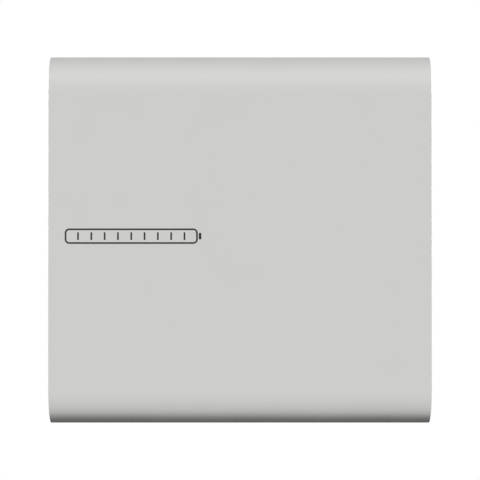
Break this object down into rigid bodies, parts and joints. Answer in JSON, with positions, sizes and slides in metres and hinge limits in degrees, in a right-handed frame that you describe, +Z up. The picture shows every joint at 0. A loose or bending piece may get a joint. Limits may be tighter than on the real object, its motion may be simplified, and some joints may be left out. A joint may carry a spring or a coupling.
{
  "type": "wall battery unit",
  "caption": "Wall-hung lithium battery: a smooth wrapped cover, rounded at top and bottom, over a chassis of cells, busbars, fuse, breaker and control board, on a hooked wall plate.",
  "frame": {"origin": "centre of the four wall-bolt holes, on the wall's surface, which is the rear face of the wall plate", "axes": "+X to the right seen from the room, +Y into the wall, +Z up; the front face looks along -Y"},
  "size_m": [0.6, 0.1804, 0.583],
  "materials": {
    "cover_paint": "satin powder coat",
    "panel_paint": "satin powder coat",
    "emblem": "black inlay",
    "cup_aluminium": "turned",
    "rubber": "matte",
    "fastener": "zinc plated",
    "galvanised": "galvanised sheet",
    "plate_paint": "textured powder coat",
    "black_nylon": "moulded",
    "brass": "turned",
    "cell_film": "can in a plastic film",
    "cell_sheet": "fibre sheet",
    "terminal": "milled",
    "copper": "bare copper",
    "end_plate": "die cast",
    "strap": "stainless band",
    "clear_lid": "clear moulded",
    "flex_strip": "amber film",
    "circuit_board": "solder mask",
    "black_anodised": "anodised",
    "chip": "moulded epoxy",
    "capacitor": "sleeved can",
    "connector": "moulded nylon",
    "contactor_case": "moulded",
    "fuse_base": "moulded polyester",
    "fuse_ceramic": "ceramic",
    "tinned": "tin plated",
    "breaker_case": "moulded",
    "lever": "moulded",
    "flap": "smoked clear",
    "hinge_steel": "stainless",
    "button_case": "moulded",
    "button": "stainless",
    "positive_sheath": "silicone sheath",
    "negative_sheath": "silicone sheath",
    "lead_sheath": "silicone sheath"
  },
  "bodies": {
    "wall_mount": {"wall_plate": "plate_paint", "lock_screws": "fastener"},
    "chassis": {"side_panel_left": "panel_paint", "side_panel_right": "panel_paint", "edge_seals": "rubber", "wall_buffers": "rubber", "gland_seals": "rubber", "cable_grommets": "rubber", "side_panel_screws": "fastener", "chassis_screws": "fastener", "terminal_nuts": "fastener", "button_spring": "fastener", "chassis_tray": "galvanised", "hanging_rail": "galvanised", "lock_tabs": "galvanised", "guide_pins": "galvanised", "cable_bay_walls": "galvanised", "gland_plate": "galvanised", "module_shelves": "galvanised", "module_brackets": "galvanised", "partition": "galvanised", "breaker_rail": "galvanised", "breather_vent": "black_nylon", "gland_bodies": "black_nylon", "gland_caps": "black_nylon", "earth_stud": "brass", "board_pillars": "brass", "cells": "cell_film", "cell_sheets": "cell_sheet", "cell_terminals": "terminal", "busbars": "copper", "power_terminals": "copper", "end_plates": "end_plate", "straps": "strap", "module_lids": "clear_lid", "sense_strips": "flex_strip", "management_board": "circuit_board", "heat_sink": "black_anodised", "board_chips": "chip", "capacitors": "capacitor", "board_connectors": "connector", "contactor": "contactor_case", "fuse_base": "fuse_base", "fuse_body": "fuse_ceramic", "fuse_blades": "tinned", "cable_lugs": "tinned", "breaker_body": "breaker_case", "flap_hinge": "hinge_steel", "button_housing": "button_case", "positive_cables": "positive_sheath", "negative_cables": "negative_sheath", "sense_leads": "lead_sheath"},
    "cover": {"front_cover": "cover_paint", "front_emblem": "emblem", "cover_sockets": "cup_aluminium", "cover_bushes": "rubber", "cover_screws": "fastener"},
    "breaker_lever": {"breaker_lever": "lever"},
    "breaker_flap": {"breaker_flap": "flap"},
    "power_button": {"power_button": "button"}
  },
  "joints": [
    {"name": "unit_lift", "type": "slide", "parent": "wall_mount", "child": "chassis", "axis": [0, 0, 1], "range_m": [0, 0.02]},
    {"name": "cover_pull", "type": "slide", "parent": "chassis", "child": "cover", "axis": [0, -1, 0], "range_m": [0, 0.25]},
    {"name": "breaker_throw", "type": "hinge", "parent": "chassis", "child": "breaker_lever", "pos_m": [0.276, -0.078, -0.045], "axis": [0, 1, 0], "range_deg": [0, 52]},
    {"name": "flap_swing", "type": "hinge", "parent": "chassis", "child": "breaker_flap", "pos_m": [0.295, -0.078, -0.011], "axis": [0, -1, 0], "range_deg": [0, 110]},
    {"name": "button_press", "type": "slide", "parent": "chassis", "child": "power_button", "axis": [-1, 0, 0], "range_m": [0, 0.002], "stiffness_N_per_m": 600, "springref_m": -0.002, "deforming": ["button_spring"]}
  ]
}
